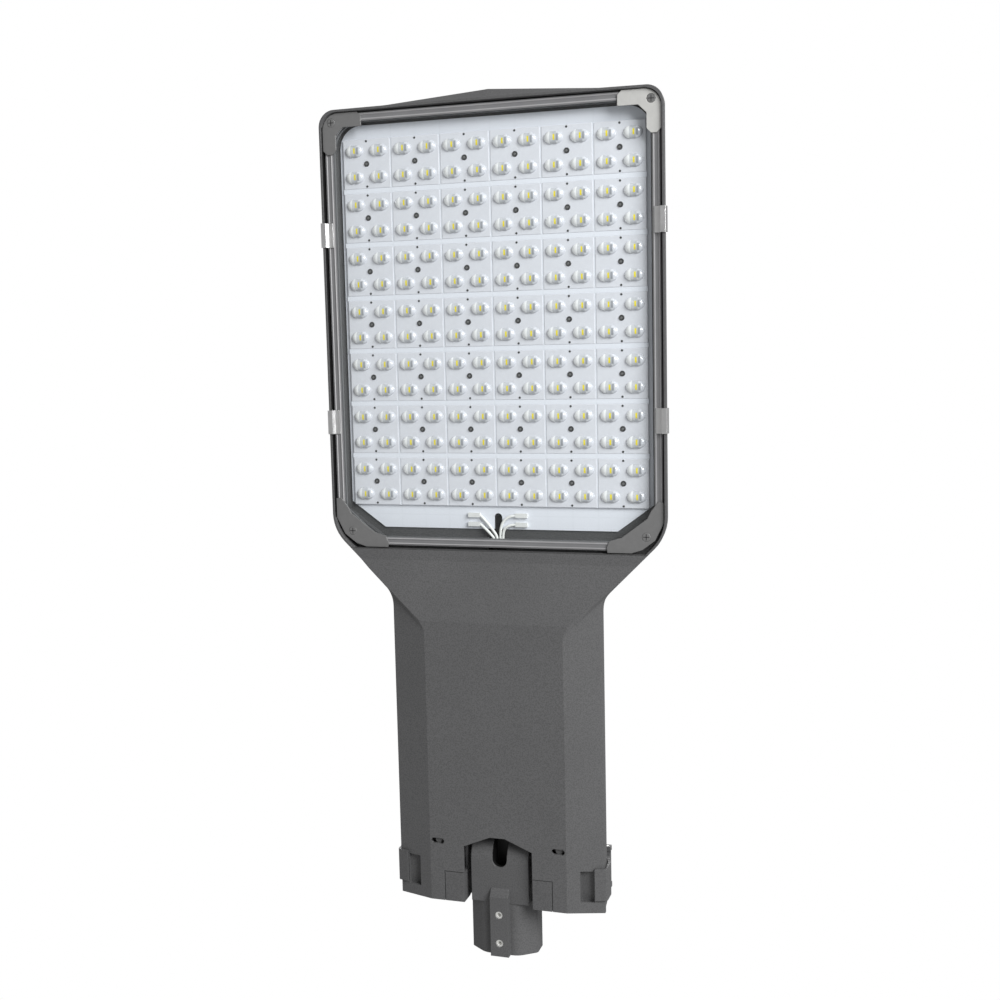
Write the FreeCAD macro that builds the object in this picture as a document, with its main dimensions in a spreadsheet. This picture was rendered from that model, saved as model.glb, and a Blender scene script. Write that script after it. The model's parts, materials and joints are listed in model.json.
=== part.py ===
import FreeCAD, Part
import math
import os
import Sketcher
from FreeCAD import Vector

# Led street light head, in millimetres. The origin is the middle of the pole socket's mouth,
# +Y runs from the pole to the nose, +Z is the roof side and the lamps shine to -Z.

doc = FreeCAD.newDocument("StreetLightHead")
sheet = doc.addObject("Spreadsheet::Sheet", "Sizes")

sizes = {
    # outline of the casting, seen from the lamp side
    "half_width": 168.3, "nose_edge": 831.0, "nose_tip_reach": 9.5, "nose_side_reach": -0.6,
    "nose_radius": 16.0, "neck_corner": 422.8, "neck_radius": 40.0, "corner_share": 0.41421,
    "hollow_reach": -62.8, "hollow_radius": 28.0, "box_half": 105.5, "tail_end": 53.0,
    "tail_radius": 5.0,
    # levels of the casting, and how far each level is drawn in
    "rim_front": -25.3, "belt_level": -12.0, "tray_top": -3.9, "tray_floor": -7.9,
    "ledge_level": -14.0, "belt_draw": 1.3, "tray_draw": 3.7, "rim_wall": 2.2, "rim_draw": 1.1,
    # driver box behind the lamp field
    "roof_level": 46.5, "roof_wall": 3.0, "roof_margin": -18.5, "roof_tail": 66.0,
    "roof_nose_reach": -70.8, "box_nose_reach": -24.8, "box_wall": 4.0, "box_radius": 12.0,
    "seat_level": -23.5,
    # lamp field
    "board_margin": -15.1, "board_nose_reach": -14.6, "board_tail_reach": 1.7, "board_radius": 22.0,
    "board_thick": 1.6, "board_notch_margin": -49.9, "board_notch_reach": 27.2, "band_side": 2.3,
    "band_nose": 2.6, "band_tail": 8.0, "slot_half": 4.0, "slot_top_reach": 17.2,
    # cooling fins
    "fin_thick": 3.0, "fin_count": 15.0, "fin_pitch": 20.0, "fin_top": 22.0,
    "fin_nose_reach": -19.0,
    "fin_rake": 34.0,
    # gasket and glass
    "gasket_margin": -4.1, "gasket_nose_reach": -4.3, "gasket_tail_reach": -14.7,
    "gasket_wide": 7.8,
    "gasket_front": -21.3, "gasket_radius": 36.0, "gasket_cut_margin": -40.3,
    "gasket_cut_reach": 18.2,
    "glass_thick": 3.2, "glass_low": -20.0, "glass_grip": 3.7, "grip_clear": 0.05,
    # corner brackets, their screws and the spring clips
    "bracket_thick": 1.7, "screw_top_margin": -11.9, "screw_top_reach": -12.3,
    "screw_low_margin": -19.9, "screw_low_reach": -1.1, "screw_shank": 2.0, "screw_head": 4.35,
    "screw_length": 14.0, "screw_clear": 0.2, "boss_radius": 3.4,
    "clip_long": 23.5, "clip_thick": 0.8, "clip_margin": -10.0, "clip_nose_reach": -119.0,
    "clip_tail_reach": 107.2, "clip_drop": 9.0, "clip_clear": 0.3,
    # lens modules and led chips
    "module_cols": 6.0, "module_rows": 7.0, "col_pitch": 50.0, "row_pitch": 51.5,
    "field_reach": 4.55, "plate_long": 48.8, "plate_wide": 47.0, "plate_thick": 2.5,
    "lens_spread": 12.5, "lens_long": 17.4, "lens_wide": 12.5, "lens_tall": 4.2,
    "lens_crown": 0.6, "recess_edge": 2.0, "recess_deep": 1.0, "chip_side": 3.5,
    "chip_tall": 0.7, "lens_faces": 6.0,
    # board terminals and their wires
    "terminal_long": 12.0, "terminal_wide": 4.2, "terminal_tall": 3.0, "terminal_x": 24.0,
    "terminal_near_reach": 15.4, "terminal_far_reach": 6.5, "wire_radius": 1.1, "wire_rise": 1.2,
    "wire_hole_reach": -10.8, "wire_hole_half": 9.0, "wire_hole_tall": 6.5,
    "wire_run": 5.0,
    # driver cover
    "cover_front_reach": -18.3, "cover_edge": -27.1, "cover_crease_reach": -28.8,
    "cover_break_reach": -37.4,
    "cover_break_margin": -37.4, "plateau_level": -37.4, "plateau_half": 70.0,
    "plateau_nose_reach": -86.5,
    "cover_wall": 3.0, "slot_x": 61.9, "slot_y": 114.0, "slot_long": 13.0, "slot_wide": 5.5,
    "cut_top_half": 7.7, "cut_top": 122.0, "cut_shoulder": 110.5, "pocket_half": 35.2,
    "lug_half": 55.0, "lug_top": 83.0, "lug_clear": 0.6, "finger_inner_margin": -23.0,
    "finger_outer_margin": -10.0, "finger_top": 95.0, "finger_tail": 64.0, "finger_floor": -26.5,
    # spigot and its pocket
    "pivot_y": 94.0, "pivot_z": -4.0, "barrel_radius": 27.0, "tongue_half": 29.6,
    "pocket_top": 124.5, "pocket_wall": 3.0, "socket_end": 54.5, "socket_half": 34.2,
    "socket_radius": 29.5, "bore_radius": 26.0, "socket_face": -30.5, "socket_side": -18.0,
    "cable_half": 7.5, "cable_end": 90.0,
    "cable_low": -25.0, "cable_high": -12.0, "rib_face": -36.6, "rib_half": 9.35, "rib_top": 68.5,
    "rib_full": 61.0, "set_near": 13.6, "set_far": 42.8, "set_radius": 4.0,
    "set_length": 8.0, "bolt_radius": 5.0, "bolt_clear": 0.05, "bolt_head": 8.0,
    "bolt_head_tall": 6.0, "washer_radius": 10.0, "washer_thick": 2.0,
    # side latches
    "latch_long": 32.0, "latch_middle": 82.25, "latch_thick": 2.4, "latch_clear": 0.4,
    "latch_pin_margin": -7.1, "latch_pin_z": 17.0, "latch_pin": 1.5, "latch_eye": 3.4,
    "latch_hook_margin": -9.0, "ear_long": 5.0, "pin_clear": 0.05,
    "ear_gap": 0.4,
    # inside the driver box
    "driver_long": 200.0, "driver_wide": 65.0, "driver_tall": 36.0, "driver_x": -38.0,
    "driver_y": 240.0, "surge_long": 70.0, "surge_wide": 40.0, "surge_tall": 28.0,
    "surge_x": 45.0, "surge_y": 300.0, "block_long": 60.0, "block_wide": 24.0,
    "block_tall": 20.0, "block_x": 45.0, "block_y": 190.0, "gland_radius": 8.0,
    "gland_nut": 10.5, "gland_z": 28.0, "gland_clear": 0.2, "small_screw": 2.0,
    "small_head": 3.6, "small_length": 5.0, "small_faces": 10.0, "tab_long": 8.0,
    "tab_thick": 3.0, "gland_tall": 4.0, "gland_hole": 5.0, "pillar_top": -31.5,
    "pillar_radius": 5.0,
}

# Lengths that keep a set distance from one of the casting's edges
follows = {
    "gasket_half": ("half_width", "gasket_margin"), "board_half": ("half_width", "board_margin"),
    "clip_inner": ("half_width", "clip_margin"),
    "screw_top_x": ("half_width", "screw_top_margin"),
    "screw_low_x": ("half_width", "screw_low_margin"),
    "gasket_cut_x": ("half_width", "gasket_cut_margin"),
    "board_notch_x": ("half_width", "board_notch_margin"),
    "cover_break_x": ("half_width", "cover_break_margin"),
    "nose_tip": ("nose_edge", "nose_tip_reach"), "nose_side": ("nose_edge", "nose_side_reach"),
    "board_nose": ("nose_edge", "board_nose_reach"),
    "gasket_nose": ("nose_edge", "gasket_nose_reach"),
    "fin_nose": ("nose_edge", "fin_nose_reach"), "screw_top_y": ("nose_edge", "screw_top_reach"),
    "board_tail": ("neck_corner", "board_tail_reach"),
    "board_notch_y": ("neck_corner", "board_notch_reach"),
    "slot_top": ("neck_corner", "slot_top_reach"),
    "gasket_tail": ("neck_corner", "gasket_tail_reach"),
    "gasket_cut_y": ("neck_corner", "gasket_cut_reach"),
    "screw_low_y": ("neck_corner", "screw_low_reach"),
    "terminal_near": ("neck_corner", "terminal_near_reach"),
    "terminal_far": ("neck_corner", "terminal_far_reach"),
    "wire_hole_y": ("neck_corner", "wire_hole_reach"),
    "cover_front": ("neck_corner", "cover_front_reach"),
    "cover_crease": ("neck_corner", "cover_crease_reach"),
    "cover_break": ("neck_corner", "cover_break_reach"),
    "box_nose": ("neck_corner", "box_nose_reach"),
    "clip_nose_y": ("nose_edge", "clip_nose_reach"),
    "clip_tail_y": ("neck_corner", "clip_tail_reach"),
    "plateau_nose": ("neck_corner", "plateau_nose_reach"),
    "neck_hollow": ("neck_corner", "hollow_reach"),
    "roof_nose": ("neck_corner", "roof_nose_reach"),
    "latch_pin_x": ("box_half", "latch_pin_margin"),
    "latch_hook": ("box_half", "latch_hook_margin"),
    "finger_outer": ("box_half", "finger_outer_margin"),
    "finger_inner": ("box_half", "finger_inner_margin"), "roof_half": ("box_half", "roof_margin"),
}
for length, (edge, reach) in follows.items():
    sizes[length] = sizes[edge] + sizes[reach]

for row, (alias, value) in enumerate(sizes.items(), start=1):
    sheet.set("A%d" % row, alias)
    formula = "=%s+%s" % follows[alias] if alias in follows else str(value)
    sheet.set("B%d" % row, formula)
    sheet.setAlias("B%d" % row, alias)
doc.recompute()


def named(expression):
    """Write an expression on size names in the form that the document reads."""
    words = []
    word = ""
    for letter in expression + " ":
        if letter.isalnum() or letter in "_.":
            word += letter
            continue
        words.append("Sizes." + word if word in sizes else word)
        words.append(letter)
        word = ""
    return "".join(words).strip()


def number(expression):
    return float(reader.evalExpression(named(expression)))


reader = doc.addObject("PartDesign::Body", "SizeReader")
pieces = []


def keep(piece, label):
    piece.Label = label
    pieces.append(piece)
    return piece


def bothSides(right):
    """Add the mirror image of an outline's right side, given from nose to tail."""
    left = [("-(%s)" % x, y, r) for x, y, r in reversed(right) if x != "0"]
    return right + left


def sketchOn(body, name, role, offset, corners):
    """Draw a closed outline whose corners are (across, up, radius) expressions."""
    sketch = body.newObject("Sketcher::SketchObject", name)
    plane = [f for f in body.Origin.OriginFeatures if f.Role == role][0]
    sketch.AttachmentSupport = (plane, [""])
    sketch.MapMode = "FlatFace"
    sketch.setExpression("AttachmentOffset.Base.z", named(offset))
    spots = [Vector(number(x), number(y), 0) for x, y, r in corners]
    total = len(spots)
    starts, ends, bends = [], [], []
    for i, (x, y, r) in enumerate(corners):
        back = (spots[i - 1] - spots[i]).normalize()
        ahead = (spots[(i + 1) % total] - spots[i]).normalize()
        half = back.getAngle(ahead) / 2
        radius = number(r) if r else 0.0
        trim = radius / math.tan(half)
        ends.append(spots[i] + back * trim)
        starts.append(spots[i] + ahead * trim)
        middle = (back + ahead).normalize() if r else Vector()
        bends.append(spots[i] + middle * (radius / math.sin(half) - radius))
    lines = [sketch.addGeometry(Part.LineSegment(starts[i], ends[(i + 1) % total]), False)
             for i in range(total)]
    rules = []
    for i, (x, y, r) in enumerate(corners):
        arriving, leaving = lines[i - 1], lines[i]
        if r:
            arc = sketch.addGeometry(Part.Arc(ends[i], bends[i], starts[i]), False)
            first = 1 if (sketch.getPoint(arc, 1) - ends[i]).Length < 1e-3 else 2
            point = sketch.addGeometry(Part.Point(spots[i]), True)
            sketch.addConstraint(Sketcher.Constraint("Tangent", arriving, 2, arc, first))
            sketch.addConstraint(Sketcher.Constraint("Tangent", arc, 3 - first, leaving, 1))
            sketch.addConstraint(Sketcher.Constraint("PointOnObject", point, 1, arriving))
            sketch.addConstraint(Sketcher.Constraint("PointOnObject", point, 1, leaving))
            rules.append((Sketcher.Constraint("Radius", arc, number(r)), r))
        else:
            point = leaving
            sketch.addConstraint(Sketcher.Constraint("Coincident", arriving, 2, leaving, 1))
        rules.append((Sketcher.Constraint("DistanceX", -1, 1, point, 1, spots[i].x), x))
        rules.append((Sketcher.Constraint("DistanceY", -1, 1, point, 1, spots[i].y), y))
    for rule, expression in rules:
        place = sketch.addConstraint(rule)
        sketch.setExpression("Constraints[%d]" % place, named(expression))
    return sketch


def roundHole(owner, name, role, offset, across, up, radius, length, kind="Pocket", middle=False,
              reverse=False):
    """A round pocket or pad about one centre, square to one of the origin planes."""
    sketch = owner.newObject("Sketcher::SketchObject", name + "Circle")
    plane = [f for f in owner.Origin.OriginFeatures if f.Role == role][0]
    sketch.AttachmentSupport = (plane, [""])
    sketch.MapMode = "FlatFace"
    sketch.setExpression("AttachmentOffset.Base.z", named(offset))
    centre = Vector(number(across), number(up), 0)
    ring = sketch.addGeometry(Part.Circle(centre, Vector(0, 0, 1), number(radius)), False)
    for rule, expression in (
            (Sketcher.Constraint("DistanceX", -1, 1, ring, 3, centre.x), across),
            (Sketcher.Constraint("DistanceY", -1, 1, ring, 3, centre.y), up),
            (Sketcher.Constraint("Radius", ring, number(radius)), radius)):
        place = sketch.addConstraint(rule)
        sketch.setExpression("Constraints[%d]" % place, named(expression))
    feature = extrude(owner, name, sketch, length, kind, reverse)
    feature.Midplane = middle
    return feature


def body(label):
    return keep(doc.addObject("PartDesign::Body", label), label)


def extrude(owner, name, sketch, length, kind="Pad", reverse=False):
    feature = owner.newObject("PartDesign::" + kind, name)
    feature.Profile = sketch
    feature.setExpression("Length", named(length))
    feature.Reversed = reverse
    return feature


def loft(owner, name, sketches, kind="AdditiveLoft"):
    feature = owner.newObject("PartDesign::" + kind, name)
    feature.Profile = sketches[0]
    feature.Sections = sketches[1:]
    feature.Ruled = True
    return feature


def block(owner, name, x1, x2, y1, y2, z1, z2, kind="Pad"):
    """A square-edged pad or pocket between levels z1 and z2, z1 the lower."""
    sketch = sketchOn(owner, name + "Sketch", "XY_Plane", z1,
                      [(x1, y1, None), (x2, y1, None), (x2, y2, None), (x1, y2, None)])
    return extrude(owner, name, sketch, "(%s)-(%s)" % (z2, z1), kind, kind == "Pocket")


def lampOutline(draw, nose, tail=None, sharp=None):
    """The casting's outline drawn in by one amount, to the tail or cut off across the neck."""
    right = [("0", nose, None),
             ("half_width-(%s)" % draw, "nose_side-(%s)" % draw, "nose_radius"),
             ("half_width-(%s)" % draw, "neck_corner+corner_share*(%s)" % draw, "neck_radius")]
    if sharp:
        return right + [("%s+half_width-neck_corner-1.4142*(%s)" % (sharp, draw), sharp, None)]
    return right + [("box_half-(%s)" % draw, "neck_hollow+corner_share*(%s)" % draw,
                     "hollow_radius"),
                    ("box_half-(%s)" % draw, "tail_end+(%s)" % draw, "tail_radius")]


# Housing: one die casting that carries the lamp field, the driver box and the spigot pocket
housing = body("housing")
loft(housing, "Shell", [
    sketchOn(housing, "RimLine", "XY_Plane", "rim_front", bothSides(lampOutline("0", "nose_edge"))),
    sketchOn(housing, "BeltLine", "XY_Plane", "belt_level",
             bothSides(lampOutline("belt_draw", "nose_tip"))),
    sketchOn(housing, "TrayLine", "XY_Plane", "tray_top",
             bothSides(lampOutline("tray_draw", "nose_tip-tray_draw*2")))])
loft(housing, "DriverBox", [
    sketchOn(housing, "BoxLow", "XY_Plane", "belt_level", bothSides([
        ("box_half-tray_draw", "box_nose", "box_radius"),
        ("box_half-tray_draw", "tail_end+tray_draw", "box_radius")])),
    sketchOn(housing, "BoxRoof", "XY_Plane", "roof_level", bothSides([
        ("roof_half", "roof_nose", "box_radius"), ("roof_half", "roof_tail", "box_radius")]))])
finLine = sketchOn(housing, "FinLine", "YZ_Plane", "-fin_pitch*(fin_count-1)/2-fin_thick/2", [
    ("neck_corner", "tray_floor+box_wall/2", None), ("neck_corner+box_wall*2", "fin_top", None),
    ("fin_nose-fin_rake", "fin_top", None), ("fin_nose", "tray_floor+box_wall/2", None)])
fin = extrude(housing, "Fin", finLine, "fin_thick")
doc.recompute()
fins = housing.newObject("PartDesign::LinearPattern", "Fins")
fins.Originals = [fin]
fins.Direction = (finLine, ["N_Axis"])
fins.Mode = "Extent"
fins.setExpression("Length", named("fin_pitch*(fin_count-1)"))
fins.setExpression("Occurrences", named("fin_count"))
housing.Tip = fins
loft(housing, "RimRecess", [
    sketchOn(housing, "RecessFront", "XY_Plane", "rim_front",
             bothSides(lampOutline("rim_wall", "nose_edge-rim_wall", sharp="cover_front+0.5"))),
    sketchOn(housing, "RecessFloor", "XY_Plane", "ledge_level",
             bothSides(lampOutline("rim_wall+rim_draw", "nose_edge-rim_wall-rim_draw",
                                   sharp="cover_front+0.5")))], "SubtractiveLoft")
lampField = sketchOn(housing, "FieldLine", "XY_Plane", "tray_floor", bothSides([
    ("board_half+band_side", "board_nose+band_nose", "board_radius"),
    ("board_half+band_side", "board_notch_y-band_tail", None),
    ("board_notch_x+band_side", "board_tail-band_tail", None)]))
extrude(housing, "Field", lampField, "tray_floor-rim_front", "Pocket")
loft(housing, "BoxHollow", [
    sketchOn(housing, "HollowFront", "XY_Plane", "rim_front", bothSides([
        ("box_half-tray_draw-box_wall", "box_nose-box_wall", "tail_radius"),
        ("box_half-tray_draw-box_wall", "pocket_top+pocket_wall", "tail_radius")])),
    sketchOn(housing, "HollowRoof", "XY_Plane", "roof_level-roof_wall", bothSides([
        ("roof_half-box_wall", "roof_nose-box_wall", "tail_radius"),
        ("roof_half-box_wall", "pocket_top+pocket_wall", "tail_radius")]))], "SubtractiveLoft")
for side, sign in (("Left", "-"), ("Right", "")):
    inner, outer = "pocket_half+pocket_wall", "roof_half-box_wall"
    ends = (sign + "(%s)" % inner, sign + "(%s)" % outer)
    block(housing, side + "Chamber", ends[0], ends[1], "roof_tail+box_wall", "pocket_top",
          "rim_front", "roof_level-roof_wall", "Pocket")
block(housing, "SpigotPocket", "-pocket_half", "pocket_half", "tail_end-box_wall", "pocket_top",
      "rim_front-1", "roof_level-roof_wall", "Pocket")
block(housing, "CoverSeat", "-half_width", "half_width", "tail_end-box_wall", "cover_front+0.2",
      "rim_front-1", "seat_level", "Pocket")
block(housing, "WireHole", "-wire_hole_half", "wire_hole_half", "box_nose-box_wall*2",
      "board_tail-band_tail+1", "tray_floor-wire_hole_tall", "tray_floor", "Pocket")
for side, sign in (("Left", "-"), ("Right", "")):
    block(housing, side + "Lug", sign + "(pocket_half)", sign + "lug_half", "tail_end", "lug_top",
          "plateau_level", "seat_level+box_wall")
roundHole(housing, "PivotBore", "YZ_Plane", "0", "pivot_y", "pivot_z", "bolt_radius",
          "(pocket_half+pocket_wall+1)*2", middle=True)
roundHole(housing, "GlandHole", "XZ_Plane", "-pocket_top-pocket_wall-1", "0", "gland_z",
          "gland_radius+gland_clear", "pocket_wall+2", reverse=True)
corners = []
for sign in ("", "-"):
    for across, up in (("screw_top_x", "screw_top_y"), ("screw_low_x", "screw_low_y")):
        corners.append((sign + across, up))
        label = "Boss%d" % len(corners)
        roundHole(housing, label, "XY_Plane", "gasket_front", sign + across, up, "boss_radius",
                  "ledge_level-gasket_front", "Pad")
        roundHole(housing, label + "Hole", "XY_Plane", "gasket_front", sign + across, up,
                  "screw_shank+screw_clear", "screw_length", reverse=True)
    roundHole(housing, "Pillar" + str(len(corners)), "XY_Plane", "pillar_top", sign + "slot_x",
              "slot_y", "pillar_radius", "roof_level-roof_wall-pillar_top", "Pad")
    roundHole(housing, "PillarHole" + str(len(corners)), "XY_Plane", "pillar_top",
              sign + "slot_x", "slot_y", "small_screw", "screw_length", reverse=True)
    for spot, low in (("Near", "latch_middle-latch_long/2-ear_gap-ear_long"),
                      ("Far", "latch_middle+latch_long/2+ear_gap")):
        block(housing, "Ear" + spot + str(len(corners)), sign + "(roof_half-pocket_wall)",
              sign + "(latch_pin_x+latch_eye)", low, low + "+ear_long",
              "latch_pin_z-latch_eye", "latch_pin_z+latch_eye")
    roundHole(housing, "EarHole" + str(len(corners)), "XZ_Plane",
              "-latch_middle-latch_long", sign + "latch_pin_x", "latch_pin_z", "latch_pin",
              "latch_long*2", reverse=True)

# Driver cover: a moulded lid with a raised plateau, cut out round the spigot
cover = body("driver_cover")


def coverRight(draw, front, front_x):
    return [(front_x, front, None),
            ("box_half-(%s)" % draw, "neck_hollow+corner_share*(%s)" % draw, "hollow_radius"),
            ("box_half-(%s)" % draw, "tail_end+(%s)" % draw, None)]


bandX = "cover_front+half_width-neck_corner"
extrude(cover, "Skirt", sketchOn(cover, "SkirtLine", "XY_Plane", "seat_level",
        bothSides(coverRight("0", "cover_front", bandX))), "seat_level-rim_front", "Pad", True)
edgeLine = sketchOn(cover, "EdgeLine", "XY_Plane", "cover_edge",
                    bothSides(coverRight("0", "cover_break", "cover_break_x")))
loft(cover, "Band", [sketchOn(cover, "CreaseLine", "XY_Plane", "rim_front", bothSides(
    coverRight("0", "cover_crease", "cover_crease+half_width-neck_corner"))), edgeLine])
loft(cover, "Plateau", [
    sketchOn(cover, "BevelLow", "XY_Plane", "cover_edge",
             bothSides(coverRight("0", "cover_break", "cover_break_x"))),
    sketchOn(cover, "BevelTop", "XY_Plane", "plateau_level", bothSides([
        ("plateau_half+tail_radius", "plateau_nose", None),
        ("plateau_half", "plateau_nose-tail_radius*2", "tail_radius"),
        ("plateau_half", "tail_end", None)]))])
loft(cover, "Inside", [
    sketchOn(cover, "InsideSeat", "XY_Plane", "seat_level", bothSides([
        ("box_half-cover_wall*2", "cover_break-cover_wall*2", None),
        ("box_half-cover_wall*2", "tail_end+cover_wall", None)])),
    sketchOn(cover, "InsideTop", "XY_Plane", "plateau_level+cover_wall", bothSides([
        ("plateau_half-cover_wall", "plateau_nose-cover_wall", None),
        ("plateau_half-cover_wall", "tail_end+cover_wall", None)]))], "SubtractiveLoft")
for side, sign in (("Left", "-"), ("Right", "")):
    block(cover, side + "Well", sign + "(finger_inner-cover_wall/2)",
          sign + "(finger_outer+cover_wall/2)", "finger_tail-cover_wall/2",
          "finger_top+cover_wall/2", "finger_floor-cover_wall/2", "seat_level")
    block(cover, side + "Finger", sign + "finger_inner", sign + "finger_outer", "finger_tail",
          "finger_top", "plateau_level", "finger_floor", "Pocket")
    block(cover, side + "Slot", sign + "(slot_x-slot_long/2)", sign + "(slot_x+slot_long/2)",
          "slot_y-slot_wide/2", "slot_y+slot_wide/2", "plateau_level-1", "seat_level", "Pocket")
    block(cover, side + "Notch", sign + "(pocket_half-1)", sign + "(lug_half+lug_clear)",
          "tail_end-1", "lug_top+lug_clear", "plateau_level-1", "seat_level", "Pocket")
cutLine = sketchOn(cover, "CutLine", "XY_Plane", "seat_level", bothSides([
    ("cut_top_half", "cut_top", None), ("pocket_half", "cut_shoulder", None),
    ("pocket_half", "tail_end-1", None)]))
extrude(cover, "SpigotCut", cutLine, "seat_level-plateau_level+1", "Pocket", False)


# Gasket and glass in the rim
def gasketRight(draw):
    return bothSides([
        ("gasket_half-(%s)" % draw, "gasket_nose-(%s)" % draw, "gasket_radius-(%s)" % draw),
        ("gasket_half-(%s)" % draw, "gasket_cut_y+corner_share*(%s)" % draw, None),
        ("gasket_cut_x-corner_share*(%s)" % draw, "gasket_tail+(%s)" % draw, None)])


gasket = body("glass_gasket")
extrude(gasket, "Ring", sketchOn(gasket, "RingLine", "XY_Plane", "gasket_front", gasketRight("0")),
        "ledge_level-gasket_front")
extrude(gasket, "Opening", sketchOn(gasket, "OpeningLine", "XY_Plane", "gasket_front",
        gasketRight("gasket_wide")), "ledge_level-gasket_front", "Pocket", True)
extrude(gasket, "GlassSlot", sketchOn(gasket, "SlotLine", "XY_Plane", "glass_low-grip_clear",
        gasketRight("glass_grip-grip_clear")), "glass_thick+grip_clear*2", "Pocket", True)
glass = body("glass")
extrude(glass, "Pane", sketchOn(glass, "PaneLine", "XY_Plane", "glass_low",
        gasketRight("glass_grip")), "glass_thick")

# Led board with its cable slot
board = body("led_board")
extrude(board, "Plate", sketchOn(board, "PlateLine", "XY_Plane", "tray_floor-board_thick", bothSides([
    ("board_half", "board_nose", "board_radius"), ("board_half", "board_notch_y", None),
    ("board_notch_x", "board_tail", None)])), "board_thick")
block(board, "CableSlot", "-slot_half", "slot_half", "board_tail-1", "slot_top",
      "tray_floor-board_thick-1", "tray_floor+1", "Pocket")

# Spigot: socket for the arm, tongue and barrel that tilt in the housing
spigot = body("spigot")
roundHole(spigot, "Barrel", "YZ_Plane", "0", "pivot_y", "pivot_z", "barrel_radius",
          "tongue_half*2", "Pad", True)
block(spigot, "Tongue", "-tongue_half", "tongue_half", "socket_end-1", "pivot_y",
      "pivot_z-barrel_radius", "pivot_z+barrel_radius")
roundHole(spigot, "SocketBack", "XZ_Plane", "0", "0", "0", "socket_radius", "socket_end", "Pad",
          reverse=True)
frontLine = sketchOn(spigot, "FrontLine", "XZ_Plane", "0", bothSides([
    ("socket_half/2", "socket_face", "socket_half/2"), ("socket_half", "socket_side", "tail_radius"),
    ("socket_half", "0", "tail_radius"), ("socket_half/3", "socket_radius-tail_radius", None)]))
extrude(spigot, "Front", frontLine, "socket_end", "Pad", True)
rib = sketchOn(spigot, "RibLine", "YZ_Plane", "-rib_half", [
    ("0", "socket_face+tail_radius/2", None), ("0", "rib_face", None), ("rib_full", "rib_face", None),
    ("rib_top", "pivot_z-barrel_radius", None),
    ("rib_top", "socket_face+tail_radius/2", None)])
extrude(spigot, "Rib", rib, "rib_half*2")
roundHole(spigot, "Bore", "XZ_Plane", "0", "0", "0", "bore_radius", "socket_end", reverse=False)
block(spigot, "CablePath", "-cable_half", "cable_half", "socket_end-1", "cable_end+cable_half",
      "cable_low", "cable_high", "Pocket")
block(spigot, "CableMouth", "-cable_half", "cable_half", "cable_end+cable_half", "pocket_top",
      "pivot_z-barrel_radius-1", "cable_high", "Pocket")
roundHole(spigot, "CableEnd", "XY_Plane", "pivot_z-barrel_radius-1", "0",
          "cable_end+cable_half", "cable_half", "cable_high-pivot_z+barrel_radius+1", reverse=True)
roundHole(spigot, "PivotHole", "YZ_Plane", "0", "pivot_y", "pivot_z", "bolt_radius+bolt_clear",
          "tongue_half*2+2", middle=True)
for name, place in (("SetNear", "set_near"), ("SetFar", "set_far")):
    roundHole(spigot, name, "XY_Plane", "rib_face", "0", place, "set_radius",
              "set_length*2", reverse=True)
doc.recompute()
value = {alias: float(sheet.get(alias)) for alias in sizes}


def place(x, y, z):
    return Vector(x, y, z)


def solidNode(label, shape):
    """A sub-part, or a group of like pieces, whose shape is worked out from the sheet."""
    feature = doc.addObject("Part::Feature", label)
    feature.Shape = shape
    return keep(feature, label)


def prism(points, low, tall):
    """A flat outline at one level, raised by its height."""
    loop = [place(x, y, low) for x, y in points]
    return Part.Face(Part.makePolygon(loop + loop[:1])).extrude(place(0, 0, tall))


def sideProfile(points, start, length):
    """An outline in the X-Z plane, run along Y."""
    loop = [place(x, start, z) for x, z in points]
    return Part.Face(Part.makePolygon(loop + loop[:1])).extrude(place(0, length, 0))


def flatSided(loops):
    """A closed solid with flat faces between two loops of as many points."""
    first, last = loops
    faces = [Part.Face(Part.makePolygon(loop + loop[:1])) for loop in loops]
    for a, b, c, d in zip(first, first[1:] + first[:1], last[1:] + last[:1], last):
        faces.append(Part.Face(Part.makePolygon([a, b, c, d, a])))
    solid = Part.makeSolid(Part.makeShell(faces))
    solid.fixTolerance(1e-5)
    if solid.Volume < 0:
        solid.reverse()
    return solid


def stub(radius, length, base, along, endRadius=None):
    """A small round piece with few faces, straight or tapered."""
    along = Vector(along)
    aside = Vector(0, 0, 1) if abs(along.z) < 0.5 else Vector(1, 0, 0)
    other = along.cross(aside)
    loops = []
    sides = int(value["small_faces"])
    for size, way in ((radius, 0), (radius if endRadius is None else endRadius, length)):
        loops.append([base + along * way + aside * size * math.cos(2 * math.pi * i / sides)
                      + other * size * math.sin(2 * math.pi * i / sides) for i in range(sides)])
    return flatSided(loops)


def mirrored(shape):
    return shape.mirror(Vector(), Vector(1, 0, 0))


def screw(x, y, seat, length, shank, head, up=1):
    """A countersunk screw whose head is flush with its seat; up is the way its shank points."""
    sink = value["bracket_thick"]
    start, way = place(x, y, seat), Vector(0, 0, up)
    cone = stub(head, sink, start, way, shank)
    return cone.fuse(stub(shank, length - sink, start + way * sink, way)).removeSplitter()


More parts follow.
